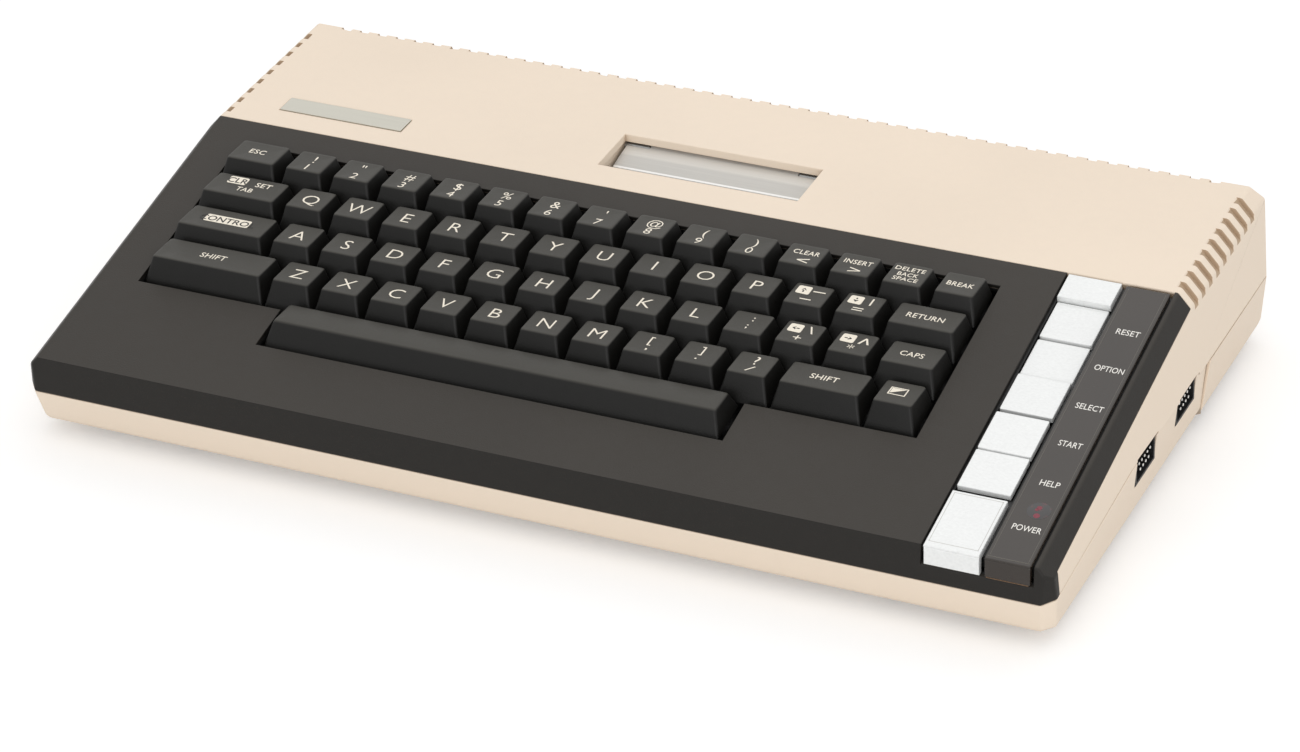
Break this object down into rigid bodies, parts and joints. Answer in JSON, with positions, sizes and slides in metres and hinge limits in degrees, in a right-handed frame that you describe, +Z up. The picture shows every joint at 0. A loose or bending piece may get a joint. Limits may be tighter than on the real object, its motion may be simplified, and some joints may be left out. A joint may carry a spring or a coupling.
{
  "type": "home computer",
  "caption": "Wedge-shaped home computer with a sloped built-in keyboard, a column of silver function keys, a lidded cartridge slot and side plug sockets.",
  "frame": {"origin": "centre of the footprint, at the level of the feet", "axes": "+X to the user's right, +Y to the rear, +Z up"},
  "size_m": [0.381, 0.222, 0.0615],
  "materials": {
    "casing": "fine moulded grain, beige",
    "bezel": "fine moulded grain, dark warm grey",
    "key_cap": "satin, dark brown-grey with cream legends",
    "silver": "brushed silver coating",
    "smoked": "smoked gloss",
    "black_plastic": "moulded black",
    "door_metal": "brushed",
    "steel": "plain",
    "plated": "plated contact",
    "board": "coated circuit board",
    "chip": "moulded black",
    "film": "thin printed film",
    "rubber": "moulded",
    "lamp": "clear red",
    "plate": "brushed, left bare"
  },
  "bodies": {
    "case": {"lower_case": "casing", "upper_case": "casing", "keyboard_bezel": "bezel", "console_key_tray": "black_plastic", "label_panel": "smoked", "silver_trims": "silver", "nameplate": "plate", "cartridge_chute": "casing", "door_hinge_pins": "steel", "door_springs": "steel", "cartridge_connector": "black_plastic", "main_board": "board", "board_chips": "chip", "board_shield": "steel", "modulator": "steel", "tv_jack": "plated", "joystick_ports": "black_plastic", "joystick_port_pins": "plated", "power_socket": "black_plastic", "monitor_socket": "black_plastic", "peripheral_port": "black_plastic", "bus_cover": "black_plastic", "channel_switch_body": "black_plastic", "power_switch_body": "black_plastic", "keyboard_frame": "black_plastic", "keyboard_membrane": "film", "keyboard_backplate": "steel", "key_springs": "steel", "ribbon_cable": "film", "power_lamp": "lamp", "rubber_feet": "rubber", "case_screws": "steel"},
    "bank_1_to_5": {"bank_1_to_5": "key_cap"},
    "bank_6_to_right_angle": {"bank_6_to_right_angle": "key_cap"},
    "bank_q_to_t": {"bank_q_to_t": "key_cap"},
    "bank_y_to_equals": {"bank_y_to_equals": "key_cap"},
    "bank_a_to_g": {"bank_a_to_g": "key_cap"},
    "bank_h_to_star": {"bank_h_to_star": "key_cap"},
    "bank_z_to_b": {"bank_z_to_b": "key_cap"},
    "bank_n_to_slash": {"bank_n_to_slash": "key_cap"},
    "escape_key": {"escape_key": "key_cap"},
    "delete_key": {"delete_key": "key_cap"},
    "break_key": {"break_key": "key_cap"},
    "tab_key": {"tab_key": "key_cap"},
    "return_key": {"return_key": "key_cap"},
    "control_key": {"control_key": "key_cap"},
    "caps_key": {"caps_key": "key_cap"},
    "left_shift_key": {"left_shift_key": "key_cap"},
    "right_shift_key": {"right_shift_key": "key_cap"},
    "symbol_key": {"symbol_key": "key_cap"},
    "space_bar": {"space_bar": "key_cap"},
    "reset_key": {"reset_key": "silver"},
    "option_key": {"option_key": "silver"},
    "select_key": {"select_key": "silver"},
    "start_key": {"start_key": "silver"},
    "help_key": {"help_key": "silver"},
    "cartridge_door_rear": {"cartridge_door_rear": "door_metal"},
    "cartridge_door_front": {"cartridge_door_front": "door_metal"},
    "power_rocker": {"power_rocker": "black_plastic"},
    "channel_switch_knob": {"channel_switch_knob": "black_plastic"}
  },
  "joints": [
    {"name": "bank_1_to_5_press", "type": "slide", "parent": "case", "child": "bank_1_to_5", "axis": [0, 0.1985, -0.9801], "range_m": [0, 0.0038], "stiffness_N_per_m": 600, "deforming": ["key_springs"]},
    {"name": "bank_6_to_right_angle_press", "type": "slide", "parent": "case", "child": "bank_6_to_right_angle", "axis": [0, 0.1985, -0.9801], "range_m": [0, 0.0038], "stiffness_N_per_m": 840},
    {"name": "bank_q_to_t_press", "type": "slide", "parent": "case", "child": "bank_q_to_t", "axis": [0, 0.1985, -0.9801], "range_m": [0, 0.0038], "stiffness_N_per_m": 600},
    {"name": "bank_y_to_equals_press", "type": "slide", "parent": "case", "child": "bank_y_to_equals", "axis": [0, 0.1985, -0.9801], "range_m": [0, 0.0038], "stiffness_N_per_m": 840},
    {"name": "bank_a_to_g_press", "type": "slide", "parent": "case", "child": "bank_a_to_g", "axis": [0, 0.1985, -0.9801], "range_m": [0, 0.0038], "stiffness_N_per_m": 600},
    {"name": "bank_h_to_star_press", "type": "slide", "parent": "case", "child": "bank_h_to_star", "axis": [0, 0.1985, -0.9801], "range_m": [0, 0.0038], "stiffness_N_per_m": 840},
    {"name": "bank_z_to_b_press", "type": "slide", "parent": "case", "child": "bank_z_to_b", "axis": [0, 0.1985, -0.9801], "range_m": [0, 0.0038], "stiffness_N_per_m": 600},
    {"name": "bank_n_to_slash_press", "type": "slide", "parent": "case", "child": "bank_n_to_slash", "axis": [0, 0.1985, -0.9801], "range_m": [0, 0.0038], "stiffness_N_per_m": 600},
    {"name": "escape_key_press", "type": "slide", "parent": "case", "child": "escape_key", "axis": [0, 0.1985, -0.9801], "range_m": [0, 0.0038], "stiffness_N_per_m": 120},
    {"name": "delete_key_press", "type": "slide", "parent": "case", "child": "delete_key", "axis": [0, 0.1985, -0.9801], "range_m": [0, 0.0038], "stiffness_N_per_m": 120},
    {"name": "break_key_press", "type": "slide", "parent": "case", "child": "break_key", "axis": [0, 0.1985, -0.9801], "range_m": [0, 0.0038], "stiffness_N_per_m": 120},
    {"name": "tab_key_press", "type": "slide", "parent": "case", "child": "tab_key", "axis": [0, 0.1985, -0.9801], "range_m": [0, 0.0038], "stiffness_N_per_m": 120},
    {"name": "return_key_press", "type": "slide", "parent": "case", "child": "return_key", "axis": [0, 0.1985, -0.9801], "range_m": [0, 0.0038], "stiffness_N_per_m": 120},
    {"name": "control_key_press", "type": "slide", "parent": "case", "child": "control_key", "axis": [0, 0.1985, -0.9801], "range_m": [0, 0.0038], "stiffness_N_per_m": 120},
    {"name": "caps_key_press", "type": "slide", "parent": "case", "child": "caps_key", "axis": [0, 0.1985, -0.9801], "range_m": [0, 0.0038], "stiffness_N_per_m": 120},
    {"name": "left_shift_key_press", "type": "slide", "parent": "case", "child": "left_shift_key", "axis": [0, 0.1985, -0.9801], "range_m": [0, 0.0038], "stiffness_N_per_m": 120},
    {"name": "right_shift_key_press", "type": "slide", "parent": "case", "child": "right_shift_key", "axis": [0, 0.1985, -0.9801], "range_m": [0, 0.0038], "stiffness_N_per_m": 120},
    {"name": "symbol_key_press", "type": "slide", "parent": "case", "child": "symbol_key", "axis": [0, 0.1985, -0.9801], "range_m": [0, 0.0038], "stiffness_N_per_m": 120},
    {"name": "space_bar_press", "type": "slide", "parent": "case", "child": "space_bar", "axis": [0, 0.1985, -0.9801], "range_m": [0, 0.0038], "stiffness_N_per_m": 360},
    {"name": "reset_key_press", "type": "slide", "parent": "case", "child": "reset_key", "axis": [0, 0.1985, -0.9801], "range_m": [0, 0.0015], "stiffness_N_per_m": 200},
    {"name": "option_key_press", "type": "slide", "parent": "case", "child": "option_key", "axis": [0, 0.1985, -0.9801], "range_m": [0, 0.0015], "stiffness_N_per_m": 200},
    {"name": "select_key_press", "type": "slide", "parent": "case", "child": "select_key", "axis": [0, 0.1985, -0.9801], "range_m": [0, 0.0015], "stiffness_N_per_m": 200},
    {"name": "start_key_press", "type": "slide", "parent": "case", "child": "start_key", "axis": [0, 0.1985, -0.9801], "range_m": [0, 0.0015], "stiffness_N_per_m": 200},
    {"name": "help_key_press", "type": "slide", "parent": "case", "child": "help_key", "axis": [0, 0.1985, -0.9801], "range_m": [0, 0.0015], "stiffness_N_per_m": 200},
    {"name": "cartridge_door_rear_hinge", "type": "hinge", "parent": "case", "child": "cartridge_door_rear", "pos_m": [0.0004, 0.06549, 0.05511], "axis": [1, 0, 0], "range_deg": [0, 85], "stiffness_Nm_per_rad": 0.03, "springref_deg": -5.73},
    {"name": "cartridge_door_front_hinge", "type": "hinge", "parent": "case", "child": "cartridge_door_front", "pos_m": [0.0004, 0.0385, 0.05452], "axis": [-1, 0, 0], "range_deg": [0, 85], "stiffness_Nm_per_rad": 0.03, "springref_deg": -5.73},
    {"name": "power_rocker_tilt", "type": "hinge", "parent": "case", "child": "power_rocker", "pos_m": [0.145, 0.1035, 0.0226], "axis": [0, 0, 1], "range_deg": [-16, 0]},
    {"name": "channel_switch_slide", "type": "slide", "parent": "case", "child": "channel_switch_knob", "axis": [1, 0, 0], "range_m": [0, 0.0038]}
  ]
}
